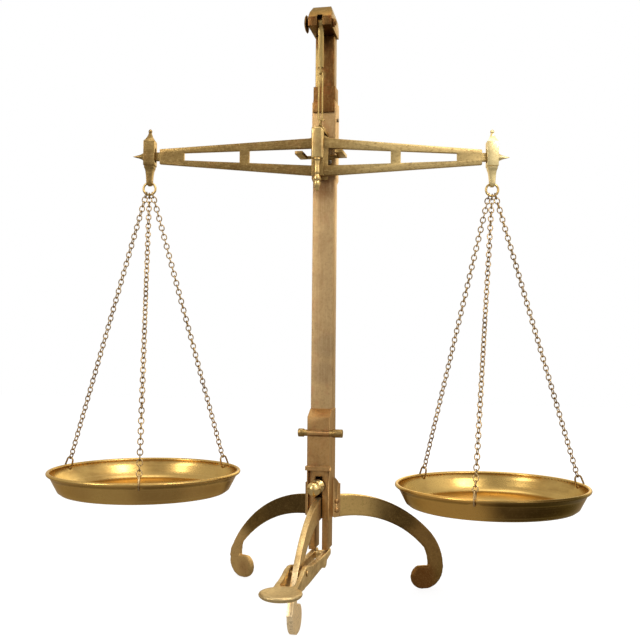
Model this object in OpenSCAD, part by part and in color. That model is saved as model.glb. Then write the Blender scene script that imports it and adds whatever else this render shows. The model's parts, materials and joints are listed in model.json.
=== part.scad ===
// Trade beam scale: two round pans on chains hang from a level box-end beam.
// A thumb lever in the foot lifts the slide bar, and with it the beam, off its rest.

/* [Stand] */
// Distance from the column axis to the middle of each scroll foot
foot_reach = 137; // [120:1:160]
// Height of the crown of the three legs at their roots
leg_crown_z = 124; // [112:1:140]
// Depth of a leg's flat bar at its root
leg_depth = 25; // [18:1:28]
// Thickness of a leg's flat bar
leg_t = 6.5; // [4:0.5:8]
// Radius of the round foot at the end of each leg
foot_lobe_r = 15; // [11:0.5:17]

/* [Base casting] */
// Width of the base casting
socket_w = 27.5; // [26.5:0.5:32]
// Height of the top of the base casting
socket_top_z = 231; // [215:1:260]
// Reach of the casting in front of the column axis
socket_front = 25; // [23:0.5:32]
// Reach of the casting behind the column axis
socket_back = 14; // [13.5:0.5:18]
// Height of the lip over the open front of the casting
lip_z = 158; // [152:1:166]
// Wall of the casting
socket_wall = 1.5; // [1.2:0.1:3]

/* [Column] */
// Width of the column where it stands on the base
column_foot_w = 26.5; // [23.5:0.5:27]
// Width of the upper column, which holds the slide bar
column_top_w = 30; // [28.5:0.5:34]
// Height at which the column widens for the slide bar
column_step_z = 512; // [450:1:520]
// Depth of the column from front to back
column_d = 22; // [21:0.5:28]
// Height of the top of the column
column_top_z = 612; // [560:1:680]
// Width of the slide bar
slide_w = 24; // [16:0.5:25]
// Depth of the slide bar
slide_d = 17; // [12:0.5:18]
// Side of the square rod below the slide bar
rod_side = 12; // [8:0.5:13]

/* [Head] */
// Height of the underside of the head
head_z = 697; // [660:1:760]
// Width of the head
head_w = 28.5; // [26:0.5:32]
// Height of the head at its crown
head_h = 30; // [24:1:36]
// Reach of the head in front of the column axis
head_front = 41; // [38:0.5:48]
// Diameter of the pin that carries the strap
head_pin_d = 5; // [3:0.5:6]
// Diameter of the domed disc on the end of that pin
disc_d = 21.6; // [14:0.2:24]

/* [Suspension] */
// Distance from the column axis forward to the beam
beam_reach = 30; // [28:0.5:34]
// Width of the flat strap under the head
strap_w = 6; // [4:0.5:7]
// Height of the lower end of the strap
strap_end_z = 637; // [630:1:650]
// Diameter of the wire of the long link
link_wire_d = 2; // [1.4:0.1:2.2]
// Spread of the shackle cheeks, over their outside faces
shackle_d = 32; // [28:1:33]
// Width of the shackle
shackle_w = 14.5; // [12:0.5:17]
// Thickness of the bevelled plate on the front of the shackle
cover_t = 3; // [2:0.25:4]

/* [Beam] */
// Distance from the centre knife edge to each end knife edge
half_span = 208.4; // [180:0.1:230]
// Height of the three knife edges above the ground
knife_z = 541; // [520:1:552]
// Turn of the hanging beam about the vertical, right end back
beam_turn = 9.8; // [0:0.2:12]
// Height of the beam at its centre
beam_h = 47; // [40:1:52]
// Height of the beam at its ends
beam_end_h = 18; // [14:0.5:22]
// Thickness of the beam
beam_t = 6; // [4:0.5:7]
// Half the height of a window at the centre of the beam
window_half = 11; // [9:0.25:12]
// Half the height of a window at the end of the beam
window_end_half = 3.6; // [3:0.1:5]

/* [Thumb lever] */
// Distance from the column axis forward to the middle of the thumb plate
plate_reach = 204; // [190:1:230]
// Diameter of the thumb plate
plate_d = 45; // [36:1:52]
// Height of the top of the thumb plate
plate_z = 61; // [56:0.5:66]
// Distance from the column axis forward to the fulcrum pin
fulcrum_reach = 134; // [126:1:140]
// Diameter of the fulcrum pin
fulcrum_d = 5; // [3:0.5:6]
// Rise of the slide bar when the lever is pressed
lift = 8.5; // [4:0.5:9]

/* [Pans and chains] */
// Diameter of a pan over its rolled rim
pan_d = 230; // [200:1:250]
// Depth of a pan
pan_depth = 26.5; // [18:0.5:32]
// Diameter of the flat floor of a pan
pan_floor_d = 190; // [150:1:200]
// Thickness of the pan sheet
pan_sheet = 1.2; // [0.8:0.1:2]
// Diameter of the rolled rim
rim_roll_d = 4.4; // [3.6:0.2:6]
// Distance from one chain link to the next
chain_pitch = 5.86; // [5:0.02:8]
// Diameter of the chain wire
chain_wire_d = 1.2; // [0.8:0.1:1.4]
// Links in each chain of the left pan
left_links = 60; // [40:1:66]
// Links in each chain of the right pan
right_links = 62; // [40:1:66]
// Turn of the left pan about its ring, front chain to the left
left_pan_turn = -10; // [-20:0.5:20]
// Turn of the right pan about its ring, front chain to the left
right_pan_turn = 18.5; // [-20:0.5:20]
// Diameter of the ring that gathers the three chains
ring_d = 17.4; // [14:0.2:22]
// Diameter of the wire of that ring
ring_wire_d = 2.8; // [2:0.1:3.4]

/* [Hidden] */

$fn = 48;
// gaps shared by the pieces that fit each other
slide_gap = 0.3;
pin_gap = 0.05;
eps = 0.01;

// leg outline: the crown and the belly of a leg are arcs of two circles
leg_root_r = 15;
function arc_height(centre, r, d) = centre[1] + sqrt(r * r - pow(d - centre[0], 2));
crown_r = 172;
crown_c = [11, leg_crown_z - crown_r];
belly_r = crown_r + 3;
belly_c = [crown_c[0] + 4.5, leg_crown_z - leg_depth - belly_r];
// the right leg is bent fuller: a large arc that runs smoothly into a smaller one
full_r = 167.4;
full_c = [foot_reach - 113, leg_crown_z + 1.1 - full_r];
full_belly_r = 138.5;
full_belly_c = [foot_reach - 101.1, leg_crown_z - leg_depth - 1.4 - full_belly_r];
toe_r = foot_lobe_r + 10;
toe_c = [foot_reach + 2.5, toe_r - 0.5];
lobe_c = [foot_reach - 1, foot_lobe_r];
throat_r = 44.5;
throat_c = [foot_reach - 37, 30];
full_rise = toe_c[1] - full_c[1];
full_run = full_c[0] + full_r - foot_reach - 28;
full_turn = 2 * atan(full_run / full_rise);
bend_r = full_r - full_rise / sin(full_turn);
bend_c = [foot_reach + 28 - bend_r, toe_c[1]];
bend_x = full_c[0] + full_r * cos(full_turn);
lug_t = leg_t + 2 * 3;
lug_out = 22;
lug_top_z = leg_crown_z + 27;
lug_low_z = leg_crown_z - leg_depth - 1;
rivet_d = 4;

// base casting
cavity_top_z = lip_z + 24;
cavity_back = socket_back - 3;
cavity_front = 20.3;
lip_h = 5;
lip_out = 4;
spigot_z = 190;
spigot_w = rod_side + 5;
barrel_z = 203;
barrel_d = 8;
bolt_d = 5;
bolt_half = 24.6;

// column and slide bar, both in the same middle plane
column_y = 3;
column_y0 = column_y - column_d / 2;
bore_w = slide_w + 2 * slide_gap;
bore_d = slide_d + 2 * slide_gap;
wide_bore_z = column_step_z + 4;
slide_low_z = wide_bore_z + 14;
guide_low_z = 599;
guide_top_z = 632;
guide_plate_t = 2;
guide_wall = 1.5;
side_screw_z = guide_low_z - 8;
side_screw_x = column_top_w / 2;
// the side screws run from just outside the bore to just past the column's face
side_screw_in = bore_w / 2 + slide_gap;
side_screw_out = side_screw_x + 0.2;

// lift fork: two prongs straddle the front leg and the clamp barrel
fork_inner = leg_t / 2 + 1.15;
fork_outer = socket_w / 2 - socket_wall - slide_gap;
fork_y0 = -20;
fork_y1 = 8;
fork_tip_z = 62;
fork_yoke_z = 150;
fork_top_z = 166;

// clamp screw
clamp_z = 139;
clamp_ball_r = 8.5;
clamp_ball_reach = 47;
clamp_d = 5;
clamp_barrel_r = fork_inner - slide_gap;

// thumb lever, as seen from above and from the side
fulcrum_z = (arc_height(crown_c, crown_r, fulcrum_reach) + arc_height(belly_c, belly_r, fulcrum_reach)) / 2;
lever_pad_z = 59.5;
lever_back = 4;
lever_rear_in = leg_t / 2 + 1.15;
lever_rear_out = 11.5;
lever_front_in = 7.5;
lever_front_out = 12.8;
plate_t = 7;

// beam rest
rest_t = 4;
rest_gap = 3.2;
rest_in = 20;
rest_out = 29.5;
rest_plate_t = 2.5;
rest_plate_half = 11.5;

// beam, worked out from its centre line
beam_z = knife_z - 3;
beam_end_x = half_span - 12.4;
block_half = 10;
window_1 = [block_half, beam_end_x * 0.43878];
window_2 = [beam_end_x / 2, beam_end_x * 0.84694];
tongue_half_h = 5;
tongue_x = half_span + 4.5;
rest_top_z = beam_z + window_at(rest_out) - rest_gap;
rest_screw_x = 8.5;
knife_h = 6;
knife_w = 6;
knife_half = shackle_d / 2 - 0.4;

// end boxes that hang on the end knives
box_w = 13.5;
box_d = 15;
box_low_z = knife_z - 14;
box_top_z = knife_z + 15.5;
box_slot_w = beam_t + 1;
box_slot_half = 7.2;
end_knife_half = box_d / 2 - 1;
drop_end_z = box_low_z - 25.2;
drop_wall = 2.4;
ring_hole_gap = 0.15;
finial_top_z = knife_z + 31;
tip_len = 17;

// rings, chains and pans
ring_r = (ring_d - ring_wire_d) / 2;
ring_top_z = drop_end_z + drop_wall + ring_wire_d / 2 + ring_hole_gap;
ring_z = ring_top_z - ring_r;
link_r = (chain_pitch + 0.2 + chain_wire_d) / 2;
link_hole_r = link_r - chain_wire_d / 2;
link_gap = 0.14;
hook_wire_d = 1.5;
hook_r = rim_roll_d / 2 + 2.8;
roll_r = rim_roll_d / 2;
rim_r = pan_d / 2 - roll_r;
ring_spread = 32;
pan_knee = 7;
wall_lean = atan2(rim_r - pan_floor_d / 2 - pan_knee, pan_depth - roll_r - pan_knee / 2);

// suspension heights
pin_z = head_z + 6;
tab_t = 1.8;
link_half_w = tab_t / 2 + 0.4 + link_wire_d / 2;
strap_hole_z = strap_end_z + 5;
shackle_top_z = knife_z + 30;
bridge_z = knife_z + 25.5;
yoke_low_z = knife_z - 8;
cheek_low_z = beam_z - beam_h / 2 - 2;
shackle_eye_r = 2.7;
shackle_eye_z = shackle_top_z + 3.4;
link_ring_r = 4;
link_ring_z = shackle_eye_z + shackle_eye_r - link_wire_d + link_ring_r - 0.1;
link_low_z = link_ring_z + link_ring_r;

// moves the whole scale so that its box is centred on the origin
span_y = half_span * sin(beam_turn);
front_y = -plate_reach - plate_d / 2;
back_y = -beam_reach + span_y + pan_d / 2;
shift_y = -(front_y + back_y) / 2;

brass = "darkgoldenrod";
aged = "peru";
dark = "saddlebrown";
bright = "goldenrod";
pale = "burlywood";

// helpers
module placed() {
    translate([0, shift_y, 0]) children();
}

module along_x(r, h, fn = 48) {
    rotate([0, 90, 0]) cylinder(r = r, h = h, center = true, $fn = fn);
}

module along_y(r, h, fn = 48) {
    rotate([90, 0, 0]) cylinder(r = r, h = h, center = true, $fn = fn);
}

module block(low, high) {
    translate(low) cube(high - low);
}

module torus(r, wire_d) {
    rotate_extrude($fn = 48) translate([r, 0]) circle(d = wire_d, $fn = 24);
}

module ball(r) {
    sphere(r = r, $fn = 48);
}

module beam_frame() {
    placed() translate([0, -beam_reach, 0]) rotate([0, 0, beam_turn]) children();
}

module pan_frame(side) {
    beam_frame() translate([side * half_span, 0, 0]) children();
}

// turns a flat outline, drawn as distance and height, into the plane of a leg
module leg_plane(angle, t) {
    rotate([0, 0, angle - 90]) rotate([90, 0, 0])
        translate([0, 0, -t / 2]) linear_extrude(t) children();
}

function leg_angle(name) = name == "front" ? 0 : name == "right" ? 120 : -120;

module leg_bow() {
    difference() {
        translate(crown_c) circle(r = crown_r, $fn = 240);
        translate(belly_c) circle(r = belly_r, $fn = 240);
    }
}

module full_bow() {
    difference() {
        union() {
            intersection() {
                translate(full_c) circle(r = full_r, $fn = 240);
                square([bend_x, leg_crown_z + 20]);
            }
            translate(bend_c) circle(r = bend_r, $fn = 180);
        }
        translate(full_belly_c) circle(r = full_belly_r, $fn = 240);
    }
}

module leg_arch(name, root) {
    intersection() {
        if (name == "right") full_bow();
        else leg_bow();
        translate([root, toe_c[1]]) square([toe_c[0] + toe_r + 2 - root, leg_crown_z]);
    }
}

module leg_foot() {
    intersection() {
        union() {
            difference() {
                translate(toe_c) circle(r = toe_r, $fn = 96);
                translate(throat_c) circle(r = throat_r, $fn = 120);
            }
            translate(lobe_c) circle(r = foot_lobe_r, $fn = 96);
        }
        translate([0, 0]) square([foot_reach + 60, leg_crown_z]);
    }
}

module leg_outline(name, root) {
    difference() {
        union() {
            leg_arch(name, root);
            leg_foot();
        }
        intersection() {
            translate(throat_c) circle(r = throat_r, $fn = 120);
            translate([throat_c[0], foot_lobe_r * 2 - 1]) square([throat_r, 6]);
        }
    }
}

module leg_solid(name, root) {
    leg_plane(leg_angle(name), leg_t) leg_outline(name, root);
}

module rear_leg(name) {
    color(dark) placed() difference() {
        leg_solid(name, leg_root_r);
        lug_rivet_holes(name);
    }
}

function rivet_heights() = [leg_crown_z - 7, leg_crown_z - leg_depth + 7];

module lug_rivet_holes(name) {
    for (z = rivet_heights())
        rotate([0, 0, leg_angle(name) - 90]) translate([lug_out - 4.5, 0, z]) {
            along_y(rivet_d / 2 + eps, lug_t + 2);
            // room for the rivet heads beside the body of the casting
            for (s = [-1, 1])
                translate([0, s * (lug_t / 2 + 2), 0]) along_y(rivet_d * 0.8 + 0.1, 4);
        }
}

module front_leg() {
    color(dark) placed() difference() {
        leg_solid("front", -cavity_back);
        translate([0, -fulcrum_reach, fulcrum_z]) along_x(fulcrum_d / 2 + pin_gap, leg_t + 2);
        for (z = rivet_heights())
            translate([0, cavity_back - 5, z]) along_y(rivet_d / 2 + eps, 12);
    }
}

module left_leg() {
    rear_leg("left");
}

module right_leg() {
    rear_leg("right");
}

module lug_rivet(name, z) {
    rotate([0, 0, leg_angle(name) - 90]) translate([lug_out - 4.5, 0, z]) {
        along_y(rivet_d / 2, lug_t);
        for (s = [-1, 1])
            translate([0, s * lug_t / 2, 0]) rotate([-90 * s, 0, 0])
                cylinder(r1 = rivet_d * 0.8, r2 = rivet_d * 0.45, h = 1.2);
    }
}

module leg_rivets() {
    color(aged) placed() {
        for (name = ["left", "right"])
            for (z = rivet_heights())
                lug_rivet(name, z);
        for (z = rivet_heights()) {
            translate([0, (cavity_back - 11 + socket_back) / 2, z])
                along_y(rivet_d / 2, socket_back - cavity_back + 11);
            translate([0, socket_back, z]) rotate([-90, 0, 0])
                cylinder(r1 = rivet_d * 0.8, r2 = rivet_d * 0.45, h = 1.2);
        }
    }
}

// base casting
module leg_lug(name) {
    leg_plane(leg_angle(name), lug_t) {
        translate([4, lug_low_z]) square([lug_out - 4, lug_top_z - lug_low_z - 12]);
        intersection() {
            translate([lug_out - 20, lug_top_z - 20]) circle(r = 20, $fn = 64);
            translate([4, lug_low_z]) square([lug_out - 4, lug_top_z - lug_low_z]);
        }
    }
}

module socket_shell() {
    half = socket_w / 2;
    top = socket_top_z;
    rotate([90, 0, 90]) translate([0, 0, -half]) linear_extrude(socket_w)
        polygon([[-socket_front, lug_low_z], [socket_back, lug_low_z], [socket_back, top],
            [column_y0 - 1, top], [-socket_front, top - 9]]);
}

module base_socket() {
    half = socket_w / 2;
    color(aged) placed() {
        difference() {
            union() {
                socket_shell();
                leg_lug("left");
                leg_lug("right");
                block([-half - 1.5, -socket_front - lip_out, lip_z],
                    [half + 1.5, -socket_front + 4, lip_z + lip_h]);
                translate([0, -socket_front, barrel_z]) along_x(barrel_d / 2, socket_w);
            }
            // open-fronted hollow for the lift fork
            block([-half + socket_wall, -cavity_front, lug_low_z - 1],
                [half - socket_wall, cavity_back, cavity_top_z]);
            block([-half + socket_wall, -socket_front - 1, lug_low_z - 1],
                [half - socket_wall, -cavity_front + 1, lip_z]);
            // way through for the rod, and seat of the column's spigot
            translate([0, column_y, (cavity_top_z + socket_top_z) / 2])
                cube([rod_side + 2, rod_side + 2, socket_top_z - cavity_top_z + 2], center = true);
            translate([0, column_y, (spigot_z + socket_top_z) / 2 + 1])
                cube([spigot_w, spigot_w, socket_top_z - spigot_z + 2], center = true);
            translate([0, -socket_front, barrel_z]) along_x(bolt_d / 2 + pin_gap, socket_w + 2);
            for (name = ["left", "right"]) {
                leg_plane(leg_angle(name), leg_t)
                    translate([leg_root_r, lug_low_z - 1]) square([20, leg_crown_z - lug_low_z + 2.2]);
                lug_rivet_holes(name);
            }
            for (z = rivet_heights())
                translate([0, (cavity_back + socket_back) / 2, z]) along_y(rivet_d / 2 + eps, 12);
        }
        // barrel for the clamp screw, between the prongs of the fork
        difference() {
            translate([0, (cavity_back - cavity_front) / 2 + 0.8, clamp_z])
                along_y(clamp_barrel_r, cavity_back + cavity_front - 1.6 + 2 * eps);
            translate([0, -cavity_front, clamp_z]) along_y(clamp_d / 2 + pin_gap, 40);
        }
    }
}

module outer_column() {
    color(aged) placed() difference() {
        union() {
            translate([0, column_y + column_d / 2, 0]) rotate([90, 0, 0]) linear_extrude(column_d)
                polygon([[-column_foot_w / 2, socket_top_z], [column_foot_w / 2, socket_top_z],
                    [column_foot_w / 2, column_step_z], [column_top_w / 2, column_step_z + 4],
                    [column_top_w / 2, column_top_z], [-column_top_w / 2, column_top_z],
                    [-column_top_w / 2, column_step_z + 4], [-column_foot_w / 2, column_step_z]]);
            translate([-spigot_w / 2, column_y - spigot_w / 2, spigot_z])
                cube([spigot_w, spigot_w, socket_top_z - spigot_z + eps]);
        }
        translate([0, column_y, column_top_z / 2])
            cube([rod_side + 2, rod_side + 2, column_top_z], center = true);
        translate([0, column_y, wide_bore_z + 150])
            cube([bore_w, bore_d, 300], center = true);
        for (s = [-1, 1])
            translate([s * side_screw_x, column_y, side_screw_z])
                along_x(1.5 + eps, 2 * (side_screw_x - side_screw_in + 0.1));
        for (x = [-rest_screw_x, rest_screw_x])
            translate([x, column_y0, rest_top_z - 9]) along_y(1.5 + eps, 3.6);
    }
}

module column_guide() {
    color(aged) placed() {
        difference() {
            translate([0, column_y, (column_top_z + guide_top_z) / 2])
                cube([bore_w + 2 * guide_wall, bore_d + 2 * guide_wall, guide_top_z - column_top_z],
                    center = true);
            translate([0, column_y, guide_top_z - 10]) cube([bore_w, bore_d, 60], center = true);
        }
        block([-column_top_w / 2 + 1.5, column_y0 - guide_plate_t, guide_low_z],
            [column_top_w / 2 - 1.5, column_y0, column_top_z + 2]);
        block([-column_top_w / 2 + 1.5, column_y0 - eps, column_top_z],
            [column_top_w / 2 - 1.5, column_y - bore_d / 2 - guide_wall + eps, column_top_z + 2]);
    }
}

module guide_screws() {
    color(dark) placed()
        for (s = [-1, 1])
            translate([s * side_screw_x, column_y, side_screw_z]) {
                translate([s * ((side_screw_in + side_screw_out) / 2 - side_screw_x), 0, 0])
                    along_x(1.5, side_screw_out - side_screw_in);
                translate([s * 1, 0, 0]) along_x(2.2, 1.8);
            }
}

module cross_bolt() {
    half = socket_w / 2;
    color(brass) placed() translate([0, -socket_front, barrel_z]) {
        translate([-1, 0, 0]) along_x(bolt_d / 2, 2 * half + 14);
        translate([-half - 2, 0, 0]) along_x(barrel_d / 2, 4);
        translate([-half - 5.5, 0, 0]) along_x(barrel_d / 2 - 0.8, 3);
        translate([-bolt_half + 3.5, 0, 0]) along_x(barrel_d / 2 + 1, 7);
    }
}

module cross_bolt_nut() {
    half = socket_w / 2;
    color(brass) placed() translate([half, 0, 0]) difference() {
        translate([0, -socket_front, barrel_z]) union() {
            translate([2, 0, 0]) along_x(barrel_d / 2, 4);
            translate([10, 0, 0]) along_x(barrel_d / 2 + 1, 12);
        }
        translate([0, -socket_front, barrel_z]) along_x(bolt_d / 2 + eps, 12.1);
    }
}

module beam_rest() {
    top = rest_top_z;
    color(brass) placed() {
        difference() {
            union() {
                block([-rest_plate_half, column_y0 - rest_plate_t, top - 17],
                    [rest_plate_half, column_y0, top]);
                block([-rest_out, column_y0 - rest_plate_t, top - rest_t], [rest_out, column_y0, top]);
            }
            for (x = [-rest_screw_x, rest_screw_x])
                translate([x, column_y0, top - 9]) along_y(1.5 + eps, 10);
        }
        for (s = [-1, 1])
            block([s > 0 ? rest_in : -rest_out, -beam_reach - 9, top - rest_t],
                [s > 0 ? rest_out : -rest_in, column_y0 - rest_plate_t + eps, top]);
    }
}

module rest_screws() {
    color(dark) placed()
        for (x = [-rest_screw_x, rest_screw_x])
            translate([x, column_y0 - rest_plate_t, rest_top_z - 9]) {
                translate([0, 1.9, 0]) along_y(1.5, 4.8);
                translate([0, -0.5, 0]) along_y(2.6, 1);
            }
}

module fulcrum_pin() {
    color(brass) placed() translate([0, -fulcrum_reach, fulcrum_z]) {
        along_x(fulcrum_d / 2, 2 * lever_rear_out + 2);
        for (s = [-1, 1])
            translate([s * (lever_rear_out + 0.9), 0, 0]) along_x(fulcrum_d / 2 + 1, 1.4);
    }
}

module clamp_screw() {
    color(bright) placed() translate([0, 0, clamp_z]) {
        translate([0, -clamp_ball_reach, 0]) ball(clamp_ball_r);
        translate([0, -(clamp_ball_reach + 8) / 2, 0]) along_y(clamp_d / 2, clamp_ball_reach - 8);
        translate([0, -(clamp_ball_reach + 27) / 2, 0]) along_y(3.4, clamp_ball_reach - 27);
        translate([0, -27.5, 0]) along_y(6.2, 4);
        translate([0, -24.2, 0]) along_y(8, 3);
    }
}

// lever: two arms beside the front leg, joined at the plate and behind the leg
module lever_side() {
    boss = [fulcrum_reach, fulcrum_z];
    polygon([[-lever_back, lever_pad_z], [-lever_back, lever_pad_z - 8], [20, lever_pad_z - 10],
        [24, lever_pad_z - 16], [31, lever_pad_z - 16.5], [36, lever_pad_z - 12], [120, 47], [176, 50],
        [190, plate_z - plate_t], [190, plate_z - 1], [176, plate_z + 0.5], boss + [20, 2.5], boss + [10, 5.5],
        boss + [0, 7], boss + [-10, 6], [104, lever_pad_z + 4.5], [60, lever_pad_z + 1.5], [24, lever_pad_z]]);
}

module lever_plan(s) {
    polygon([[s * lever_rear_in, lever_back], [s * lever_rear_out, lever_back],
        [s * lever_rear_out, -fulcrum_reach], [s * lever_front_out, -178], [s * lever_front_out, -190],
        [s * 2, -190], [s * lever_front_in, -176], [s * lever_rear_in, -100]]);
}

module thumb_lever() {
    color(pale) placed() {
        difference() {
            intersection() {
                rotate([90, 0, -90]) translate([0, 0, -25]) linear_extrude(50) lever_side();
                union() {
                    for (s = [-1, 1])
                        linear_extrude(leg_crown_z) lever_plan(s);
                    linear_extrude(lever_pad_z + eps)
                        translate([-lever_rear_in - eps, -16]) square([2 * (lever_rear_in + eps), 8]);
                    linear_extrude(plate_z) translate([-lever_front_out, -190])
                        square([2 * lever_front_out, 9]);
                }
            }
            translate([0, -fulcrum_reach, fulcrum_z]) along_x(fulcrum_d / 2 + pin_gap, 40);
        }
        translate([0, -plate_reach, plate_z - plate_t]) rotate_extrude($fn = 96) thumb_plate_section();
    }
}

module thumb_plate_section() {
    r = plate_d / 2;
    polygon([[0, 0], [r - 8, 0], [r - 3, 1.2], [r - 0.8, 3], [r, plate_t / 2 + 1], [r - 0.6, plate_t - 0.8],
        [r - 2.2, plate_t], [r - 6, plate_t - 0.3], [r * 0.4, plate_t - 1.2], [0, plate_t - 1.4]]);
}

module slide_bar() {
    color(aged) placed() {
        translate([0, column_y, (slide_low_z + head_z) / 2])
            cube([slide_w, slide_d, head_z - slide_low_z], center = true);
        translate([-rod_side / 2, column_y - rod_side / 2, fork_top_z])
            cube([rod_side, rod_side, slide_low_z - fork_top_z + eps]);
    }
}

module lift_fork() {
    color(aged) placed() difference() {
        union() {
            for (s = [-1, 1])
                block([s > 0 ? fork_inner : -fork_outer, fork_y0, fork_tip_z],
                    [s > 0 ? fork_outer : -fork_inner, fork_y1, fork_top_z]);
            block([-fork_outer, fork_y0, fork_yoke_z], [fork_outer, cavity_back - 0.6, fork_top_z]);
        }
        translate([0, column_y, fork_top_z - 8]) cylinder(r = 2.5 + eps, h = 40, center = true);
    }
}

module fork_screws() {
    color(dark) placed() translate([0, column_y, 0]) {
        translate([0, 0, fork_yoke_z]) cylinder(r = 2.5, h = fork_top_z - fork_yoke_z - eps);
        translate([0, 0, fork_yoke_z - 2.2]) cylinder(r = 4, h = 2.2);
    }
}

module head_side() {
    low = head_z;
    top = head_z + head_h;
    back = -12;
    polygon([[back, low], [head_front, low], [head_front, low + 11], [head_front - 9, low + 20],
        [head_front - 20, top], [12, top], [0, top - 4], [back + 4, low + 16], [back, low + 10]]);
}

module head() {
    half = head_w / 2;
    slot = strap_w / 2 + slide_gap;
    color(brass) placed() difference() {
        intersection() {
            rotate([90, 0, -90]) translate([0, 0, -half]) linear_extrude(head_w) head_side();
            rotate([90, 0, 0]) translate([0, 0, -40]) linear_extrude(100)
                polygon([[-half, head_z - 1], [half, head_z - 1], [half, head_z + head_h - 12],
                    [half - 4, head_z + head_h + 1], [-half + 2.5, head_z + head_h + 1],
                    [-half, head_z + head_h - 9]]);
        }
        block([-slot, -head_front - 1, head_z - 1], [slot, -beam_reach + 9, head_z + 14]);
        translate([0, -beam_reach, pin_z]) along_x(head_pin_d / 2 + eps, head_w + 2);
    }
}

module head_pin() {
    half = head_w / 2;
    color(brass) placed() translate([0, -beam_reach, pin_z]) {
        translate([0.5, 0, 0]) along_x(head_pin_d / 2, head_w + 7);
        translate([-half - 4, 0, 0]) rotate([0, 90, 0]) rotate_extrude($fn = 64) disc_section();
    }
}

module disc_section() {
    r = disc_d / 2;
    polygon([[0, -2.4], [r * 0.5, -1.9], [r * 0.85, -0.8], [r, 0.4], [r * 0.96, 1],
        [r * 0.5, 1.8], [3.6, 2], [3.6, 4], [0, 4]]);
}

module head_pin_nut() {
    half = head_w / 2;
    color(brass) placed() translate([half, -beam_reach, pin_z]) difference() {
        union() {
            translate([1.5, 0, 0]) along_x(5.2, 3);
            translate([3.7, 0, 0]) along_x(3.8, 1.6);
        }
        along_x(head_pin_d / 2 + eps, 9);
    }
}

module strap() {
    color(bright) placed() translate([0, -beam_reach, 0]) difference() {
        union() {
            translate([0, 0, pin_z]) along_x(5.4, strap_w);
            block([-strap_w / 2, -2.6, strap_end_z + 11], [strap_w / 2, 2.6, pin_z]);
            block([-tab_t / 2, -2.6, strap_hole_z], [tab_t / 2, 2.6, strap_end_z + 12]);
            translate([0, 0, strap_hole_z]) along_x(2.6, tab_t);
        }
        translate([0, 0, pin_z]) along_x(head_pin_d / 2 + pin_gap, strap_w + 1);
        translate([0, 0, strap_hole_z]) along_x(link_wire_d / 2 + 0.3, strap_w + 1);
    }
}

// long wire link: a narrow loop over the strap's tab, with a crossed ring below
module hook_link() {
    top_z = strap_hole_z - link_half_w;
    low_z = link_low_z + link_half_w + 0.6;
    color(bright) placed() translate([0, -beam_reach, 0]) {
        for (s = [-1, 1])
            translate([s * link_half_w, 0, low_z]) cylinder(d = link_wire_d, h = top_z - low_z, $fn = 24);
        translate([0, 0, top_z]) rotate([90, 0, 0]) rotate_extrude(angle = 180, $fn = 48)
            translate([link_half_w, 0]) circle(d = link_wire_d, $fn = 24);
        translate([0, 0, low_z]) rotate([90, 180, 0]) rotate_extrude(angle = 180, $fn = 48)
            translate([link_half_w, 0]) circle(d = link_wire_d, $fn = 24);
        translate([0, 0, link_ring_z]) rotate([0, 90, 0]) torus(link_ring_r, link_wire_d);
        translate([2.6, 0, link_low_z]) along_x(link_wire_d / 2, 5.2);
    }
}

module knife_hole() {
    rotate([90, 0, 0]) translate([0, 0, -30]) linear_extrude(60)
        polygon([[0, knife_z - eps], [knife_w / 2 + 1.6, knife_z + 3],
            [knife_w / 2 + 1.6, knife_z + knife_h + 2],
            [-knife_w / 2 - 1.6, knife_z + knife_h + 2], [-knife_w / 2 - 1.6, knife_z + 3]]);
}

module shackle() {
    half = shackle_w / 2;
    outer = shackle_d / 2;
    inner = outer - 3.5;
    color(brass) placed() translate([0, -beam_reach, 0]) {
        difference() {
            union() {
                for (s = [-1, 1])
                    block([-half, s > 0 ? inner : -outer, cheek_low_z],
                        [half, s > 0 ? outer : -inner, bridge_z + 4.5]);
                block([-half, -outer, bridge_z], [half, outer, bridge_z + 4.5]);
            }
            rotate([0, 0, beam_turn]) knife_hole();
        }
        translate([0, 0, bridge_z + 4.5 - eps])
            cylinder(r = 2.4, h = shackle_eye_z - shackle_eye_r - bridge_z - 4);
        translate([0, 0, shackle_eye_z]) rotate([90, 0, 0]) torus(shackle_eye_r, 2);
    }
}

// bevelled front plate that hides the bearing
module shackle_cover() {
    half = shackle_w / 2;
    bevel = 1.4;
    low = yoke_low_z;
    high = bridge_z + 4.5;
    color(brass) placed() translate([0, -beam_reach - shackle_d / 2, 0]) intersection() {
        block([-half, -cover_t, low], [half, 0, high]);
        rotate([90, 0, 0]) linear_extrude(cover_t)
            polygon([[-half, low], [half, low], [half, high - 4], [half - 4, high], [-half + 4, high],
                [-half, high - 4]]);
        linear_extrude(high) polygon([[-half, 0], [half, 0], [half, -cover_t + bevel],
            [half - bevel, -cover_t],
            [-half + bevel, -cover_t], [-half, -cover_t + bevel]]);
        rotate([90, 0, 90]) translate([0, 0, -half]) linear_extrude(shackle_w)
            polygon([[0, low], [-cover_t + bevel, low], [-cover_t, low + bevel], [-cover_t, high - bevel],
                [-cover_t + bevel, high], [0, high]]);
    }
}

// turned index under the cover plate
module index_drop() {
    top = yoke_low_z;
    tip = top - 40;
    color(bright) placed() translate([0, -beam_reach - shackle_d / 2, 0]) intersection() {
        rotate_extrude($fn = 48)
            polygon([[0, top], [4.8, top], [4.8, top - 1.4], [4, top - 3], [3.4, top - 8], [3.8, top - 17],
                [3, top - 20], [4.4, top - 22], [4.6, top - 25], [3.4, top - 27.5], [4, top - 30],
                [3.6, top - 33], [2.2, top - 36], [1.8, top - 38], [0, tip]]);
        block([-6, -6, tip - 1], [6, 0, top]);
    }
}

// beam
function edge_at(x) = beam_h / 2 - (beam_h - beam_end_h) / 2 * abs(x) / beam_end_x;
function window_at(x) = window_half - (window_half - window_end_half) * abs(x) / beam_end_x;

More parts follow.
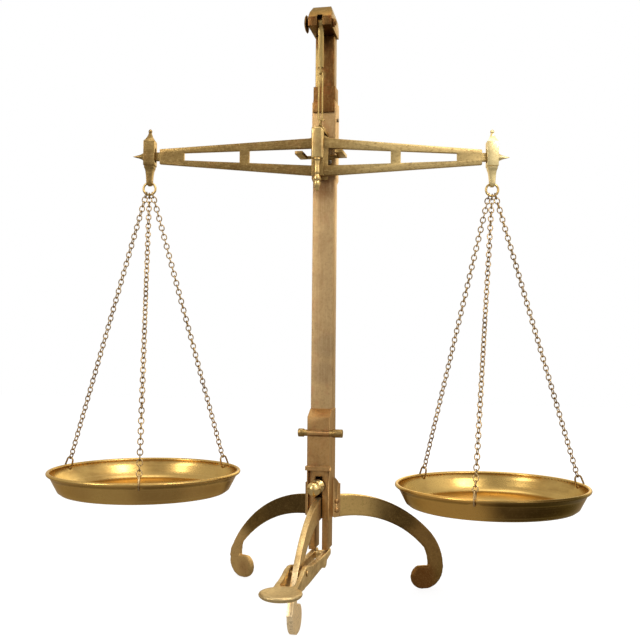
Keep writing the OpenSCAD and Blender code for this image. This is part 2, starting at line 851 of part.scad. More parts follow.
module beam_outline() {
    half = concat([[block_half - 4, beam_h / 2 + 2.4], [block_half - 1, beam_h / 2 + 0.5]],
        [[block_half + 3, edge_at(block_half + 3)], [beam_end_x, edge_at(beam_end_x)]],
        [[beam_end_x, tongue_half_h], [tongue_x, tongue_half_h], [tongue_x, -tongue_half_h]],
        [[beam_end_x, -tongue_half_h], [beam_end_x, -edge_at(beam_end_x)]],
        [[block_half + 3, -edge_at(block_half + 3)], [0, -beam_h / 2]]);
    count = len(half);
    polygon(concat(half, [for (i = [2:count]) [-half[count - i][0], half[count - i][1]]]));
}

module beam_window(w) {
    for (s = [-1, 1])
        polygon([[s * w[0], window_at(w[0])], [s * w[1], window_at(w[1])], [s * w[1], -window_at(w[1])],
            [s * w[0], -window_at(w[0])]]);
}

module centre_knife_shape(grow) {
    polygon([[0, knife_z - grow], [knife_w / 2 + grow, knife_z + 4],
        [knife_w / 2 + grow, knife_z + knife_h + grow],
        [-knife_w / 2 - grow, knife_z + knife_h + grow], [-knife_w / 2 - grow, knife_z + 4]]);
}

module end_knife_shape(grow) {
    polygon([[0, knife_z + grow], [2.2 + grow, knife_z - 3.2], [2.2 + grow, knife_z - 4.6 - grow],
        [-2.2 - grow, knife_z - 4.6 - grow], [-2.2 - grow, knife_z - 3.2]]);
}

module beam() {
    color(brass) beam_frame() difference() {
        rotate([90, 0, 0]) translate([0, beam_z, -beam_t / 2]) linear_extrude(beam_t) difference() {
            beam_outline();
            beam_window(window_1);
            beam_window(window_2);
        }
        rotate([90, 0, 0]) translate([0, 0, -beam_t]) linear_extrude(2 * beam_t) {
            centre_knife_shape(eps);
            for (s = [-1, 1])
                translate([s * half_span, 0]) end_knife_shape(eps);
        }
    }
}

module centre_knife() {
    color("dimgray") beam_frame() rotate([90, 0, 0]) translate([0, 0, -knife_half])
        linear_extrude(2 * knife_half) centre_knife_shape(0);
}

module end_knives() {
    color("dimgray") beam_frame() rotate([90, 0, 0]) translate([0, 0, -end_knife_half])
        linear_extrude(2 * end_knife_half)
            for (s = [-1, 1])
                translate([s * half_span, 0]) end_knife_shape(0);
}

// end boxes: each hangs on its knife and carries a ring
// a forged ornament: a front outline and a side outline, crossed
module crossed(front, side, reach) {
    intersection() {
        rotate([90, 0, 0]) translate([0, 0, -reach]) linear_extrude(2 * reach) polygon(front);
        rotate([90, 0, 90]) translate([0, 0, -reach]) linear_extrude(2 * reach) polygon(side);
    }
}

// closed outline from half widths and heights, lowest first
function mirrored(half) = let (count = len(half))
    concat(half, [for (i = [1:count]) [-half[count - i][0], half[count - i][1]]]);

function spire_half(w) = [[w, -1], [w, 0], [w * 0.9, 1.2], [w * 0.68, 3.2], [w * 0.46, 6],
    [w * 0.3, 9], [1.5, 11]];
function drop_half(w, end) = let (tip = drop_end_z - box_low_z)
    [[end * 0.45, tip], [end * 0.85, tip + 1.2], [end, tip + 3.4], [end * 1.04, -18],
    [end * 1.15, -12], [end * 1.32, -7], [w * 0.82, -3.6], [w * 0.86, -3], [w * 0.86, -1],
    [w, -0.2], [w, 1]];

module box_ornament(side) {
    w = box_w / 2;
    d = box_d / 2;
    translate([0, 0, box_top_z]) crossed(mirrored(spire_half(w)), mirrored(spire_half(d - 1)), 12);
    translate([0, 0, box_top_z + 10.5]) rotate_extrude($fn = 32)
        polygon([[0, 0], [1.5, 0], [2.3, 1.2], [2.4, 2.6], [1.7, 4], [0.8, 4.8],
            [0, finial_top_z - box_top_z - 10.5]]);
    translate([side * (w - 1), 0, knife_z - 3]) rotate([0, side * 90, 0]) rotate_extrude($fn = 48)
        polygon([[0, 0], [6, 0], [5.4, 1.2], [4.2, 3], [2.9, 5.6], [1.9, 8.6], [1.2, 11.6], [0.5, 14.2],
            [0, tip_len - 1.4]]);
    translate([0, 0, box_low_z]) crossed(mirrored(drop_half(w, 3.3)), mirrored(drop_half(d, 4.2)), 12);
}

module end_box(side) {
    half = box_w / 2;
    color(bright) pan_frame(side) difference() {
        union() {
            block([-half, -box_d / 2, box_low_z], [half, box_d / 2, box_top_z]);
            box_ornament(side);
        }
        // slot for the end of the beam, open towards the column
        block([side > 0 ? -half - 1 : -half + 1.6, -box_slot_w / 2, beam_z - box_slot_half],
            [side > 0 ? half - 1.6 : half + 1, box_slot_w / 2, knife_z + box_slot_half]);
        // bearing: the box rests on the upturned knife edge
        rotate([90, 0, 0]) translate([0, 0, -end_knife_half - 0.2]) linear_extrude(2 * end_knife_half + 0.4)
            polygon([[0, knife_z + eps], [3.4, knife_z - 2.8], [3.4, knife_z - 7], [-3.4, knife_z - 7],
                [-3.4, knife_z - 2.8]]);
        // the ring's way through the drop, with room above the wire
        translate([0, 0, ring_z]) rotate([90, 0, 0]) torus(ring_r, ring_wire_d + 2 * ring_hole_gap);
        translate([0, 0, ring_top_z + 0.7]) along_x(ring_wire_d / 2 + 0.4, 20);
    }
}

module left_end_box() {
    end_box(-1);
}

module right_end_box() {
    end_box(1);
}

module gather_ring(side) {
    color(bright) pan_frame(side) translate([0, 0, ring_z]) rotate([90, 0, 0]) torus(ring_r, ring_wire_d);
}

module left_ring() {
    gather_ring(-1);
}

module right_ring() {
    gather_ring(1);
}

// chains: each runs straight from the ring to a hook link round the rim
function links_in(side) = side < 0 ? left_links : right_links;
function pan_turn(side) = side < 0 ? left_pan_turn : right_pan_turn;
function chain_angle(side, k) = -90 - pan_turn(side) + 120 * k;
function ring_point(k) = let (a = k == 0 ? 0 : k == 1 ? ring_spread : -ring_spread)
    [ring_r * sin(a), 0, ring_z - ring_r * cos(a)];
// length of a taut chain between the two wires that it joins
function chain_run(side) = (links_in(side) - 1) * chain_pitch + 2 * link_hole_r
    - ring_wire_d / 2 - hook_wire_d / 2 - 2 * link_gap;
function rim_z(side) = ring_z - ring_r + roll_r
    - sqrt(pow(chain_run(side) + hook_r, 2) - pow(rim_r, 2));
function bead_point(side, k) = [rim_r * cos(chain_angle(side, k)), rim_r * sin(chain_angle(side, k)),
    rim_z(side) - roll_r];
function unit(v) = v / norm(v);
function chain_dir(side, k) = unit(ring_point(k) - bead_point(side, k));
function hook_point(side, k) = bead_point(side, k) + hook_r * chain_dir(side, k);

// direction of the ring's wire where chain k hangs on it
function ring_tangent(k) = let (a = k == 0 ? 0 : k == 1 ? ring_spread : -ring_spread) [cos(a), 0, sin(a)];
// quarter turn from link to link, eased so that the first link sits square on the ring
function link_turn(side, k) =
    let (d = chain_dir(side, k), n = links_in(side))
    let (lean = acos(d[2]), heading = atan2(d[1], d[0]))
    let (ex = [cos(lean) * cos(heading), cos(lean) * sin(heading), -sin(lean)])
    let (ey = [-sin(heading), cos(heading), 0], t = ring_tangent(k))
    let (first_turn = atan2(t * ey, t * ex))
    (first_turn + 180 * round((90 * (n - 1) - first_turn) / 180)) / (n - 1);

module chain(side, k) {
    top = ring_point(k);
    d = chain_dir(side, k);
    n = links_in(side);
    first = top - d * (link_hole_r - ring_wire_d / 2 - link_gap);
    last = hook_point(side, k) + d * (link_hole_r - hook_wire_d / 2 - link_gap);
    lean = acos(d[2]);
    heading = atan2(d[1], d[0]);
    turn = link_turn(side, k);
    color(bright) pan_frame(side)
        for (i = [0:n - 1])
            translate(first + (last - first) * i / (n - 1)) rotate([0, lean, heading])
                rotate([0, 0, turn * (n - 1 - i)]) rotate([0, 90, 0]) torus(link_r, chain_wire_d);
}

module left_front_chain() {
    chain(-1, 0);
}

module left_back_chain() {
    chain(-1, 1);
}

module left_side_chain() {
    chain(-1, 2);
}

module right_front_chain() {
    chain(1, 0);
}

module right_back_chain() {
    chain(1, 1);
}

module right_side_chain() {
    chain(1, 2);
}

module hook_links(side) {
    color(bright) pan_frame(side)
        for (k = [0:2])
            translate(bead_point(side, k)) rotate([0, 0, chain_angle(side, k)]) rotate([90, 0, 0])
                torus(hook_r, hook_wire_d);
}

module left_hook_links() {
    hook_links(-1);
}

module right_hook_links() {
    hook_links(1);
}

// the longer chains weigh more, so the other pan's floor is thicker by the same weight
function link_volume() = 2 * PI * PI * link_r * pow(chain_wire_d / 2, 2);
function trim_t(side) = 3 * (max(left_links, right_links) - links_in(side)) * link_volume()
    / (PI * pow(pan_floor_d / 2, 2));

module pan_section(side) {
    floor_r = pan_floor_d / 2;
    low = -pan_depth;
    t = pan_sheet;
    knee = pan_knee;
    wall_top = -roll_r;
    polygon([[0, low], [floor_r - 2, low], [floor_r + knee * 0.45, low + 0.7],
        [floor_r + knee, low + knee / 2],
        [rim_r, wall_top], [rim_r - t, wall_top], [floor_r + knee - t, low + knee / 2 + 0.4],
        [floor_r + knee * 0.4 - t * 0.4, low + 0.7 + t], [floor_r - 2, low + t + trim_t(side)],
        [0, low + t + trim_t(side)]]);
}

module pan(side) {
    color(bright) pan_frame(side) difference() {
        translate([0, 0, rim_z(side)]) union() {
            rotate_extrude($fn = 144) pan_section(side);
            rotate_extrude($fn = 144) translate([rim_r, -roll_r]) circle(r = roll_r, $fn = 24);
        }
        for (k = [0:2])
            translate(bead_point(side, k)) rotate([0, wall_lean, chain_angle(side, k)])
                translate([0, 0, -hook_r]) along_x(hook_wire_d / 2 + 0.5, 8);
    }
}

module left_pan() {
    pan(-1);
}

module right_pan() {
    pan(1);
}

base_socket();
front_leg();
left_leg();
right_leg();
leg_rivets();
outer_column();
column_guide();
guide_screws();
cross_bolt();
cross_bolt_nut();
beam_rest();
rest_screws();
fulcrum_pin();
clamp_screw();
thumb_lever();
slide_bar();
lift_fork();
fork_screws();
head();
head_pin();
head_pin_nut();
strap();
hook_link();
shackle();
shackle_cover();
index_drop();
beam();
centre_knife();
end_knives();
left_end_box();
right_end_box();
left_ring();
right_ring();
left_front_chain();
left_back_chain();
left_side_chain();
right_front_chain();
right_back_chain();
right_side_chain();
left_hook_links();
right_hook_links();
left_pan();
right_pan();
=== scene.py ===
import json
import math

import bmesh
import bpy
from mathutils import Euler, Matrix, Vector


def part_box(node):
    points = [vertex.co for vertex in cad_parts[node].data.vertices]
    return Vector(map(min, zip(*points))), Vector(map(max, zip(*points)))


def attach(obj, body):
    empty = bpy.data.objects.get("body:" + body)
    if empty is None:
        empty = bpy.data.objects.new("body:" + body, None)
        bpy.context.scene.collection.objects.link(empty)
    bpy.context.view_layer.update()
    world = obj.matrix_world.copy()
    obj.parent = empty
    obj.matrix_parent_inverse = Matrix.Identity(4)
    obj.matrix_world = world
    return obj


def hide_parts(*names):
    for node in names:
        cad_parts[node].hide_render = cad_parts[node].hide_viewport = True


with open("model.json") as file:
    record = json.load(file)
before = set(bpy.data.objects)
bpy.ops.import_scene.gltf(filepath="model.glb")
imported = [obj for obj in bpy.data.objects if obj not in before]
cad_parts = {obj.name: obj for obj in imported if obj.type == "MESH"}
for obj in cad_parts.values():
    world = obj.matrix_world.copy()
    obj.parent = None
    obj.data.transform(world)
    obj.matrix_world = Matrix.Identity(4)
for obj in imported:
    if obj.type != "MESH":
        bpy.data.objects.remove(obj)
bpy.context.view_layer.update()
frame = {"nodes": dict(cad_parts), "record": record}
print("frame loaded:", len(frame["nodes"]), "nodes")

scene = bpy.context.scene
scene.view_settings.view_transform = "Standard"


# small helpers for node trees

def setInput(node, values):
    for key, value in values.items():
        node.inputs[key].default_value = value


def addNode(tree, kind, values=None, links=None, **settings):
    node = tree.nodes.new(kind)
    for key, value in settings.items():
        setattr(node, key, value)
    setInput(node, values or {})
    for key, source in (links or {}).items():
        tree.links.new(source, node.inputs[key])
    return node


def mathNode(tree, operation, a, b, clamp=False):
    node = addNode(tree, "ShaderNodeMath", operation=operation, use_clamp=clamp)
    for i, value in enumerate((a, b)):
        if isinstance(value, (int, float)):
            node.inputs[i].default_value = value
        else:
            tree.links.new(value, node.inputs[i])
    return node.outputs[0]


def times(tree, a, b):
    return mathNode(tree, "MULTIPLY", a, b)


def rampNode(tree, source, low, high):
    node = addNode(tree, "ShaderNodeMapRange", {"From Min": low, "From Max": high, "To Min": 0.0, "To Max": 1.0},
                   {"Value": source}, clamp=True, interpolation_type="SMOOTHSTEP")
    return node.outputs["Result"]


def mixColor(tree, factor, a, b):
    node = addNode(tree, "ShaderNodeMix", data_type="RGBA")
    for socket, value in ((node.inputs[0], factor), (node.inputs[6], a), (node.inputs[7], b)):
        if isinstance(value, (tuple, list)):
            socket.default_value = (*value, 1.0)
        else:
            tree.links.new(value, socket)
    return node.outputs[2]


def layered(tree, color, tone, mask, share):
    return mixColor(tree, times(tree, mask, share), color, tone)


def mixShaders(tree, factor, first, second):
    return addNode(tree, "ShaderNodeMixShader", links={0: factor, 1: first, 2: second}).outputs[0]


def noiseNode(tree, vector, scale, detail, rough, distort):
    values = {"Scale": scale, "Detail": detail, "Roughness": rough, "Distortion": distort}
    return addNode(tree, "ShaderNodeTexNoise", values, {"Vector": vector}).outputs[0]


def mappedCoords(tree, source, centre, stretch=(1, 1, 1)):
    shift = addNode(tree, "ShaderNodeVectorMath", {1: centre}, {0: source}, operation="SUBTRACT")
    node = addNode(tree, "ShaderNodeMapping", {"Scale": stretch}, {"Vector": shift.outputs[0]}, vector_type="POINT")
    return node.outputs[0]


# aged brass with some painted light and shade: a dictionary of looks for each finish, and one builder for all
finishes = {
    "column": {"base": (0.49, 0.325, 0.15), "dark": (0.24, 0.135, 0.055), "red": (0.40, 0.18, 0.08),
               "pale": (0.64, 0.46, 0.25), "rough": (0.36, 0.5), "streak": (1, 1, 0.05), "metal": 0.9,
               "patina": (0.44, 0.7), "redAmount": 0.5, "wear": 0.5, "brush": 0.3, "fleck": 0.28},
    "slide": {"base": (0.15, 0.069, 0.019), "dark": (0.10, 0.042, 0.012), "red": (0.24, 0.08, 0.025),
              "pale": (0.36, 0.21, 0.075), "rough": (0.34, 0.5), "streak": (1, 1, 0.12), "metal": 0.95,
              "patina": (0.42, 0.7), "redAmount": 0.6, "wear": 0.5, "brush": 0.25, "fleck": 0.4},
    "casting": {"base": (0.41, 0.235, 0.088), "dark": (0.21, 0.11, 0.04), "red": (0.37, 0.155, 0.06),
                "pale": (0.46, 0.31, 0.14), "rough": (0.36, 0.54), "streak": (1, 1, 0.3), "metal": 0.95,
                "patina": (0.44, 0.72), "redAmount": 0.45, "wear": 0.6, "brush": 0.2, "fleck": 0.4},
    # painted shade: the leg finish is darkened to stand for the dim room reflected in the side legs
    "leg": {"base": (0.18, 0.102, 0.026), "dark": (0.076, 0.04, 0.009), "red": (0.17, 0.068, 0.018),
            "pale": (0.38, 0.25, 0.09), "rough": (0.3, 0.44), "streak": (1, 1, 1), "metal": 1.0,
            "patina": (0.40, 0.68), "redAmount": 0.25, "wear": 0.4, "brush": 0.1, "fleck": 0.25},
    "head": {"base": (0.142, 0.066, 0.018), "dark": (0.07, 0.034, 0.01), "red": (0.22, 0.07, 0.02),
             "pale": (0.38, 0.235, 0.09), "rough": (0.3, 0.5), "streak": (1, 1, 0.6), "metal": 0.97,
             "patina": (0.44, 0.66), "redAmount": 0.55, "wear": 0.6, "brush": 0.1, "fleck": 0.45},
    "bright": {"base": (0.53, 0.37, 0.145), "dark": (0.2, 0.115, 0.035), "red": (0.36, 0.17, 0.06),
               "pale": (0.74, 0.56, 0.28), "rough": (0.2, 0.36), "streak": (1, 1, 0.4), "metal": 1.0,
               "patina": (0.46, 0.74), "redAmount": 0.2, "wear": 0.6, "brush": 0.05, "fleck": 0.2,
               "relief": 0.15, "speck": 0.15},
    # in both pan finishes the last colour is painted shade for the downward-facing faces, deeper on the right pan
    "pan": {"base": (0.44, 0.285, 0.088), "dark": (0.24, 0.14, 0.04), "red": (0.36, 0.19, 0.06),
            "pale": (0.54, 0.37, 0.125), "rough": (0.24, 0.34), "streak": (0.3, 0.3, 1.6), "metal": 1.0,
            "patina": (0.44, 0.72), "redAmount": 0.12, "wear": 0.12, "brush": 0.2, "fleck": 0.12,
            "under": (0.25, 0.13, 0.034), "relief": 0.05, "speck": 0.05},
    "leftPan": {"base": (0.46, 0.295, 0.092), "dark": (0.26, 0.15, 0.044), "red": (0.38, 0.2, 0.065),
                "pale": (0.64, 0.46, 0.18), "rough": (0.24, 0.34), "streak": (0.3, 0.3, 1.6), "metal": 1.0,
                "patina": (0.44, 0.72), "redAmount": 0.12, "wear": 0.12, "brush": 0.2, "fleck": 0.12,
                "under": (0.43, 0.245, 0.072), "relief": 0.05, "speck": 0.05},
    "strap": {"base": (0.36, 0.25, 0.09), "dark": (0.21, 0.13, 0.04), "red": (0.30, 0.15, 0.05),
              "pale": (0.60, 0.45, 0.20), "rough": (0.34, 0.46), "streak": (1, 1, 0.2), "metal": 1.0,
              "patina": (0.44, 0.72), "redAmount": 0.15, "wear": 0.1, "brush": 0.0, "fleck": 0.25,
              "relief": 0.05, "speck": 0.05},
    "paleBox": {"base": (0.68, 0.54, 0.26), "dark": (0.30, 0.2, 0.08), "red": (0.40, 0.22, 0.09),
                "pale": (0.82, 0.68, 0.38), "rough": (0.28, 0.4), "streak": (1, 1, 1), "metal": 0.98,
                "patina": (0.48, 0.74), "redAmount": 0.15, "wear": 0.6, "brush": 0.1, "fleck": 0.35},
    "chain": {"base": (0.38, 0.26, 0.12), "dark": (0.13, 0.075, 0.03), "red": (0.28, 0.13, 0.055),
              "pale": (0.64, 0.48, 0.26), "rough": (0.24, 0.4), "streak": (1, 1, 1), "metal": 0.97,
              "patina": (0.44, 0.68), "redAmount": 0.25, "wear": 0.2, "brush": 0.0, "fleck": 0.2},
    "beam": {"base": (0.31, 0.2, 0.07), "dark": (0.16, 0.095, 0.03), "red": (0.26, 0.12, 0.042),
             "pale": (0.52, 0.37, 0.155), "rough": (0.3, 0.46), "streak": (0.1, 0.3, 1), "metal": 0.97,
             "patina": (0.40, 0.64), "redAmount": 0.35, "wear": 0.9, "brush": 0.25, "fleck": 0.55},
    "lever": {"base": (0.68, 0.49, 0.215), "dark": (0.26, 0.16, 0.06), "red": (0.48, 0.25, 0.10),
              "pale": (0.74, 0.54, 0.26), "rough": (0.34, 0.5), "streak": (1, 0.3, 1), "metal": 0.93,
              "patina": (0.42, 0.68), "redAmount": 0.3, "wear": 0.5, "brush": 0.2, "fleck": 0.45},
    "steel": {"base": (0.26, 0.22, 0.17), "dark": (0.11, 0.09, 0.07), "red": (0.22, 0.12, 0.06),
              "pale": (0.5, 0.44, 0.36), "rough": (0.3, 0.5), "streak": (1, 1, 1), "metal": 0.95,
              "patina": (0.4, 0.7), "redAmount": 0.3, "wear": 0.4, "brush": 0.1, "fleck": 0.3},
}

# the brass's noise layers: scale, detail, roughness and distortion of each
noises = {
    "blotch": (22.0, 5.0, 0.6, 0.4), "cloud": (60.0, 6.0, 0.62, 0.2), "stain": (75.0, 5.0, 0.6, 0.0),
    "fleck": (330.0, 4.0, 0.65, 0.3), "fine": (900.0, 3.0, 0.5, 0.0), "grain": (2600.0, 2.0, 0.5, 0.0),
}
# what all finishes share; a pair is where a mask begins and where it is full
shared = {
    "specular": (1.0, 0.82, 0.55, 1.0), "red": (0.5, 0.7), "below": (0.0, 0.25), "mottle": 0.7, "mottleFloor": 0.45,
    "darkFleck": (0.5, 0.66), "paleFleck": (0.52, 0.68), "paleShare": 0.6, "line": (0.5, 0.75), "lineShare": 0.3,
    "speck": (0.56, 0.72), "speckShare": 0.3, "edge": (0.02, 0.2), "edgeCloud": (0.3, 0.6), "edgeRadius": 0.0007,
    "roughFrom": (0.3, 0.7), "stainHeight": 0.6, "grainHeight": 0.12, "relief": 0.35, "depth": 0.0008,
    "poolWobble": 0.6, "poolEdge": (0.55, 1.35),
}


def poolMask(tree, coords, centre, radius, wobble):
    distance = addNode(tree, "ShaderNodeVectorMath", {1: centre}, {0: coords}, operation="DISTANCE")
    ragged = mathNode(tree, "ADD", distance.outputs["Value"], times(tree, wobble, shared["poolWobble"] * radius))
    inner, outer = shared["poolEdge"]
    return mathNode(tree, "SUBTRACT", 1.0, rampNode(tree, ragged, inner * radius, outer * radius))


def turnedLines(tree, coords, centre):
    around = mappedCoords(tree, coords, centre)
    flat = addNode(tree, "ShaderNodeVectorMath", {1: (1, 1, 0)}, {0: around}, operation="MULTIPLY")
    length = addNode(tree, "ShaderNodeVectorMath", links={0: flat.outputs[0]}, operation="LENGTH")
    return addNode(tree, "ShaderNodeCombineXYZ", links={"X": length.outputs["Value"]}).outputs[0]


def wornEdges(tree, bevel, cloud):
    geometry = addNode(tree, "ShaderNodeNewGeometry")
    dot = addNode(tree, "ShaderNodeVectorMath", links={0: bevel, 1: geometry.outputs["Normal"]},
                  operation="DOT_PRODUCT")
    edge = rampNode(tree, mathNode(tree, "SUBTRACT", 1.0, dot.outputs["Value"]), *shared["edge"])
    return times(tree, edge, rampNode(tree, cloud, *shared["edgeCloud"]))


def agedBrassWithPaintedLight(name, look, seed, pools=(), turnedAbout=None):
    material = bpy.data.materials.new(name)
    material.use_nodes = True
    tree = material.node_tree
    shader = tree.nodes["Principled BSDF"]
    setInput(shader, {"Metallic": look["metal"], "Specular Tint": shared["specular"]})
    texture = addNode(tree, "ShaderNodeTexCoord")
    coords = texture.outputs["Object"]
    plain = mappedCoords(tree, coords, (seed, -seed, 0.5 * seed))
    drawn = mappedCoords(tree, coords, (-seed, seed, seed), look["streak"])
    lines = drawn if turnedAbout is None else turnedLines(tree, coords, turnedAbout)
    blotch, stain, fleck, grain = (noiseNode(tree, plain, *noises[layer])
                                   for layer in ("blotch", "stain", "fleck", "grain"))
    cloud = noiseNode(tree, drawn, *noises["cloud"])
    fine = noiseNode(tree, lines, *noises["fine"])
    bevel = addNode(tree, "ShaderNodeBevel", {"Radius": shared["edgeRadius"]}, samples=6).outputs["Normal"]

    mixed = mathNode(tree, "ADD", times(tree, blotch, 0.5), times(tree, cloud, 0.5))
    color = mixColor(tree, rampNode(tree, mixed, *look["patina"]), look["base"], look["dark"])
    color = layered(tree, color, look["red"], rampNode(tree, stain, *shared["red"]), look["redAmount"])
    # painted shade: faces that look down take the darker colour, broken up by the blotches
    if "under" in look:
        facing = addNode(tree, "ShaderNodeSeparateXYZ", links={0: texture.outputs["Normal"]})
        below = rampNode(tree, times(tree, facing.outputs["Z"], -1.0), *shared["below"])
        mottled = mathNode(tree, "ADD", times(tree, blotch, shared["mottle"]), shared["mottleFloor"], True)
        color = layered(tree, color, look["under"], below, mottled)
    wobble = mathNode(tree, "SUBTRACT", blotch, 0.5)
    # pools: patches of darker or lighter brass, some of them painted light and shade
    for spot in pools:
        mask = poolMask(tree, coords, spot["centre"], spot["radius"], wobble)
        color = layered(tree, color, spot["color"], mask, spot["strength"])
    color = layered(tree, color, look["dark"], rampNode(tree, fleck, *shared["darkFleck"]), look["fleck"])
    flash = rampNode(tree, mathNode(tree, "SUBTRACT", 1.0, fleck), *shared["paleFleck"])
    color = layered(tree, color, look["pale"], flash, shared["paleShare"] * look["fleck"])
    color = layered(tree, color, look["pale"], rampNode(tree, fine, *shared["line"]), shared["lineShare"])
    specks = rampNode(tree, grain, *shared["speck"])
    color = layered(tree, color, look["dark"], specks, look.get("speck", shared["speckShare"]))
    color = layered(tree, color, look["pale"], wornEdges(tree, bevel, cloud), look["wear"])
    tree.links.new(color, shader.inputs["Base Color"])

    fromLow, fromHigh = shared["roughFrom"]
    low, high = look["rough"]
    roughness = addNode(tree, "ShaderNodeMapRange",
                        {"From Min": fromLow, "From Max": fromHigh, "To Min": low, "To Max": high},
                        {"Value": mixed}, clamp=True)
    tree.links.new(roughness.outputs["Result"], shader.inputs["Roughness"])

    dents = times(tree, stain, shared["stainHeight"])
    pits = times(tree, grain, shared["grainHeight"])
    height = mathNode(tree, "ADD", times(tree, fine, look["brush"]), mathNode(tree, "ADD", dents, pits))
    relief = {"Strength": look.get("relief", shared["relief"]), "Distance": shared["depth"]}
    bump = addNode(tree, "ShaderNodeBump", relief, {"Height": height, "Normal": bevel})
    tree.links.new(bump.outputs["Normal"], shader.inputs["Normal"])
    return material


# places read from the frame

def corners(node):
    low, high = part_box(node)
    return Vector(low), Vector(high)


def middle(node):
    low, high = corners(node)
    return (low + high) / 2


def frontLow(node):
    # middle of the width, at the front and the underside
    low = corners(node)[0]
    return Vector((middle(node).x, low.y, low.z))


def footMiddle(side):
    inset = {"across": 0.018, "deep": 0.012}
    low, high = corners(side + "_leg")
    x = low.x + inset["across"] if side == "left" else high.x - inset["across"]
    return Vector((x, high.y - inset["deep"], 0))


def pool(anchor, offset, radius, color, strength):
    return {"centre": anchor + Vector(offset), "radius": radius, "color": color, "strength": strength}


column = Vector((middle("outer_column").x, middle("outer_column").y, 0))
sleeveLow, columnTop = 0.515, corners("outer_column")[1].z
columnFront = -0.011
legTop = corners("left_leg")[1].z
legTip = Vector((column.x, corners("front_leg")[0].y, 0))
slideFront = Vector((column.x, corners("slide_bar")[0].y, 0))
headTop = Vector((middle("head").x, middle("head").y, corners("head")[1].z))
leftFoot, rightFoot = footMiddle("left"), footMiddle("right")
leftPan, rightPan = frontLow("left_pan"), frontLow("right_pan")
panFloor = {pan: Vector((middle(pan).x, middle(pan).y, corners(pan)[0].z)) for pan in ("left_pan", "right_pan")}
bodyOf = {n: b for b, members in frame["record"]["behaviour"]["bodies"].items() for n in members}

# each node's finish, and how its solid is softened: edge radius in metres, relaxing rounds of the cast pieces,
# and the pushes (reach, depth) that ease a bend
nodeFinish = {
    # painted light and shade: the front leg takes the paler lever finish and the side legs the darker leg finish, a
    # lit and a shaded copy of one cast brass
    "base_socket": "casting", "front_leg": "lever", "left_leg": "leg", "right_leg": "leg", "leg_rivets": "casting",
    "outer_column": "column", "column_guide": "slide", "guide_screws": "steel", "cross_bolt": "beam",
    "cross_bolt_nut": "beam", "beam_rest": "beam", "rest_screws": "steel", "fulcrum_pin": "lever",
    "clamp_screw": "bright", "thumb_lever": "lever", "slide_bar": "slide", "lift_fork": "casting",
    "fork_screws": "steel", "head": "head", "head_pin": "head", "head_pin_nut": "head", "strap": "strap",
    "hook_link": "strap", "shackle": "beam", "shackle_cover": "bright", "index_drop": "bright", "beam": "beam",
    "centre_knife": "steel", "end_knives": "steel", "left_end_box": "beam", "right_end_box": "paleBox",
    "left_ring": "bright", "right_ring": "bright", "left_pan": "leftPan", "right_pan": "pan",
}
edgeRadius = {
    "base_socket": 0.0011, "front_leg": 0.0009, "left_leg": 0.0009, "right_leg": 0.0009, "outer_column": 0.0007,
    "column_guide": 0.0004, "beam_rest": 0.0005, "slide_bar": 0.0007, "lift_fork": 0.0006, "head": 0.0012,
    "strap": 0.0005, "shackle": 0.0006, "shackle_cover": 0.0003, "beam": 0.0006, "cross_bolt": 0.0006,
    "cross_bolt_nut": 0.0008, "head_pin_nut": 0.0004, "left_end_box": 0.0004, "right_end_box": 0.0004,
}
castRounds = {"thumb_lever": 10, "left_leg": 14, "right_leg": 14}
bendEase = {"left_leg": ((0.0055, 0.0018), (0.022, 0.0016))}
